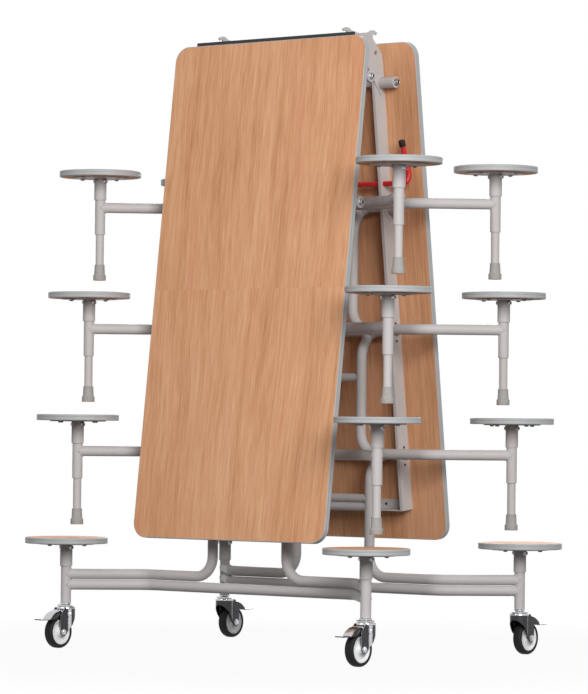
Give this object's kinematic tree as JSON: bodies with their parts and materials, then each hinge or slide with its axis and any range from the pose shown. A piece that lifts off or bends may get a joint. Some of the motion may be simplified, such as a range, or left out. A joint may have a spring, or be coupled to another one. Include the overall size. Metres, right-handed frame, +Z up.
{
  "type": "mobile folding stool table",
  "caption": "Folding cafeteria table on castors: hinged wood-laminate top halves with round stools on level swinging frames, stored upright.",
  "frame": {"origin": "floor centre under the folded table", "axes": "+Z up, +Y from the front half to the rear half, X along the stool frames' cross tubes"},
  "size_m": [1.428, 1.055, 1.8901],
  "materials": {
    "powder_coat": "satin light warm grey powder coat",
    "beech_laminate": "satin beech laminate",
    "grey_moulding": "satin grey vinyl edge moulding",
    "grey_rubber": "matt grey rubber",
    "zinc_steel": "zinc plated",
    "dark_steel": "satin dark grey paint",
    "red_paint": "gloss red paint",
    "black_rubber": "matt black rubber",
    "chrome_steel": "bright chrome plate",
    "pale_nylon": "smooth near-white nylon",
    "black_tyre": "matt black rubber"
  },
  "bodies": {
    "front_end": {"front_end_frame": "powder_coat", "front_end_seats": "beech_laminate", "front_end_seat_edges": "grey_moulding"},
    "front_top": {"front_top_board": "beech_laminate", "front_top_edging": "grey_moulding", "front_rail_frame": "powder_coat", "front_pivot_bolts": "zinc_steel", "front_support_strip": "dark_steel", "front_hinge_pins": "zinc_steel"},
    "front_link": {"front_levelling_link": "dark_steel"},
    "front_row1": {"front_row1_frame": "powder_coat", "front_row1_seats": "beech_laminate", "front_row1_seat_edges": "grey_moulding", "front_row1_feet": "grey_rubber"},
    "front_row2": {"front_row2_frame": "powder_coat", "front_row2_seats": "beech_laminate", "front_row2_seat_edges": "grey_moulding", "front_row2_feet": "grey_rubber"},
    "front_row3": {"front_row3_frame": "powder_coat", "front_row3_seats": "beech_laminate", "front_row3_seat_edges": "grey_moulding", "front_row3_feet": "grey_rubber"},
    "front_left_castor": {"front_left_castor_fork": "chrome_steel"},
    "front_left_castor_wheel": {"front_left_castor_rim": "pale_nylon", "front_left_castor_tyre": "black_tyre"},
    "front_left_castor_pedal": {"front_left_castor_pedal": "chrome_steel"},
    "front_right_castor": {"front_right_castor_fork": "chrome_steel"},
    "front_right_castor_wheel": {"front_right_castor_rim": "pale_nylon", "front_right_castor_tyre": "black_tyre"},
    "front_right_castor_pedal": {"front_right_castor_pedal": "chrome_steel"},
    "rear_end": {"rear_end_frame": "powder_coat", "rear_end_seats": "beech_laminate", "rear_end_seat_edges": "grey_moulding"},
    "rear_top": {"rear_top_board": "beech_laminate", "rear_top_edging": "grey_moulding", "rear_rail_frame": "powder_coat", "rear_pivot_bolts": "zinc_steel"},
    "rear_lock_lever": {"rear_lock_bar": "red_paint", "rear_lever_grip": "black_rubber"},
    "rear_link": {"rear_levelling_link": "dark_steel"},
    "rear_row1": {"rear_row1_frame": "powder_coat", "rear_row1_seats": "beech_laminate", "rear_row1_seat_edges": "grey_moulding", "rear_row1_feet": "grey_rubber"},
    "rear_row2": {"rear_row2_frame": "powder_coat", "rear_row2_seats": "beech_laminate", "rear_row2_seat_edges": "grey_moulding", "rear_row2_feet": "grey_rubber"},
    "rear_row3": {"rear_row3_frame": "powder_coat", "rear_row3_seats": "beech_laminate", "rear_row3_seat_edges": "grey_moulding", "rear_row3_feet": "grey_rubber"},
    "rear_left_castor": {"rear_left_castor_fork": "chrome_steel"},
    "rear_left_castor_wheel": {"rear_left_castor_rim": "pale_nylon", "rear_left_castor_tyre": "black_tyre"},
    "rear_left_castor_pedal": {"rear_left_castor_pedal": "chrome_steel"},
    "rear_right_castor": {"rear_right_castor_fork": "chrome_steel"},
    "rear_right_castor_wheel": {"rear_right_castor_rim": "pale_nylon", "rear_right_castor_tyre": "black_tyre"},
    "rear_right_castor_pedal": {"rear_right_castor_pedal": "chrome_steel"}
  },
  "joints": [
    {"name": "fold", "type": "hinge", "parent": "front_end", "child": "front_top", "pos_m": [0, -0.23847, 0.5985], "axis": [-1, 0, 0], "range_deg": [0, 83]},
    {"name": "centre_hinge", "type": "hinge", "parent": "front_top", "child": "rear_top", "pos_m": [0, 0, 1.84322], "axis": [1, 0, 0], "range_deg": [0, 166]},
    {"name": "rear_end_pivot", "type": "hinge", "parent": "rear_top", "child": "rear_end", "pos_m": [0, 0.23847, 0.5985], "axis": [-1, 0, 0], "range_deg": [0, 83]},
    {"name": "front_row1_pivot", "type": "hinge", "parent": "front_top", "child": "front_row1", "pos_m": [0, -0.09917, 1.73298], "axis": [1, 0, 0], "range_deg": [0, 83]},
    {"name": "front_row2_pivot", "type": "hinge", "parent": "front_top", "child": "front_row2", "pos_m": [0, -0.14561, 1.35482], "axis": [1, 0, 0], "range_deg": [0, 83]},
    {"name": "front_row3_pivot", "type": "hinge", "parent": "front_top", "child": "front_row3", "pos_m": [0, -0.19204, 0.97666], "axis": [1, 0, 0], "range_deg": [0, 83]},
    {"name": "front_link_pivot", "type": "hinge", "parent": "front_end", "child": "front_link", "pos_m": [0, -0.17247, 0.4145], "axis": [-1, 0, 0], "range_deg": [0, 83]},
    {"name": "rear_row1_pivot", "type": "hinge", "parent": "rear_top", "child": "rear_row1", "pos_m": [0, 0.09917, 1.73298], "axis": [-1, 0, 0], "range_deg": [0, 83]},
    {"name": "rear_row2_pivot", "type": "hinge", "parent": "rear_top", "child": "rear_row2", "pos_m": [0, 0.14561, 1.35482], "axis": [-1, 0, 0], "range_deg": [0, 83]},
    {"name": "rear_row3_pivot", "type": "hinge", "parent": "rear_top", "child": "rear_row3", "pos_m": [0, 0.19204, 0.97666], "axis": [-1, 0, 0], "range_deg": [0, 83]},
    {"name": "rear_link_pivot", "type": "hinge", "parent": "rear_end", "child": "rear_link", "pos_m": [0, 0.17247, 0.4145], "axis": [1, 0, 0], "range_deg": [0, 83]},
    {"name": "lock_lever_turn", "type": "hinge", "parent": "rear_top", "child": "rear_lock_lever", "pos_m": [0, 0.12455, 1.4278], "axis": [1, 0, 0], "range_deg": [0, 25]},
    {"name": "front_left_castor_swivel", "type": "hinge", "parent": "front_end", "child": "front_left_castor", "pos_m": [-0.587, -0.37747, 0.138], "axis": [0, 0, 1], "continuous": true},
    {"name": "front_left_castor_roll", "type": "hinge", "parent": "front_left_castor", "child": "front_left_castor_wheel", "pos_m": [-0.587, -0.41047, 0.05], "axis": [1, 0, 0], "continuous": true},
    {"name": "front_left_castor_brake", "type": "hinge", "parent": "front_left_castor", "child": "front_left_castor_pedal", "pos_m": [-0.587, -0.41047, 0.113], "axis": [1, 0, 0], "range_deg": [0, 5]},
    {"name": "front_right_castor_swivel", "type": "hinge", "parent": "front_end", "child": "front_right_castor", "pos_m": [0.587, -0.37747, 0.138], "axis": [0, 0, 1], "continuous": true},
    {"name": "front_right_castor_roll", "type": "hinge", "parent": "front_right_castor", "child": "front_right_castor_wheel", "pos_m": [0.587, -0.41047, 0.05], "axis": [1, 0, 0], "continuous": true},
    {"name": "front_right_castor_brake", "type": "hinge", "parent": "front_right_castor", "child": "front_right_castor_pedal", "pos_m": [0.587, -0.41047, 0.113], "axis": [1, 0, 0], "range_deg": [0, 5]},
    {"name": "rear_left_castor_swivel", "type": "hinge", "parent": "rear_end", "child": "rear_left_castor", "pos_m": [0.587, 0.37747, 0.138], "axis": [0, 0, 1], "continuous": true},
    {"name": "rear_left_castor_roll", "type": "hinge", "parent": "rear_left_castor", "child": "rear_left_castor_wheel", "pos_m": [0.587, 0.41047, 0.05], "axis": [1, 0, 0], "continuous": true},
    {"name": "rear_left_castor_brake", "type": "hinge", "parent": "rear_left_castor", "child": "rear_left_castor_pedal", "pos_m": [0.587, 0.41047, 0.113], "axis": [-1, 0, 0], "range_deg": [0, 5]},
    {"name": "rear_right_castor_swivel", "type": "hinge", "parent": "rear_end", "child": "rear_right_castor", "pos_m": [-0.587, 0.37747, 0.138], "axis": [0, 0, 1], "continuous": true},
    {"name": "rear_right_castor_roll", "type": "hinge", "parent": "rear_right_castor", "child": "rear_right_castor_wheel", "pos_m": [-0.587, 0.41047, 0.05], "axis": [1, 0, 0], "continuous": true},
    {"name": "rear_right_castor_brake", "type": "hinge", "parent": "rear_right_castor", "child": "rear_right_castor_pedal", "pos_m": [-0.587, 0.41047, 0.113], "axis": [-1, 0, 0], "range_deg": [0, 5]}
  ],
  "couplings": [
    {"joint": "centre_hinge", "follows": "fold", "ratio": 2},
    {"joint": "rear_end_pivot", "follows": "fold", "ratio": 1},
    {"joint": "front_row1_pivot", "follows": "fold", "ratio": 1},
    {"joint": "front_row2_pivot", "follows": "fold", "ratio": 1},
    {"joint": "front_row3_pivot", "follows": "fold", "ratio": 1},
    {"joint": "front_link_pivot", "follows": "fold", "ratio": 1},
    {"joint": "rear_row1_pivot", "follows": "fold", "ratio": 1},
    {"joint": "rear_row2_pivot", "follows": "fold", "ratio": 1},
    {"joint": "rear_row3_pivot", "follows": "fold", "ratio": 1},
    {"joint": "rear_link_pivot", "follows": "fold", "ratio": 1}
  ]
}
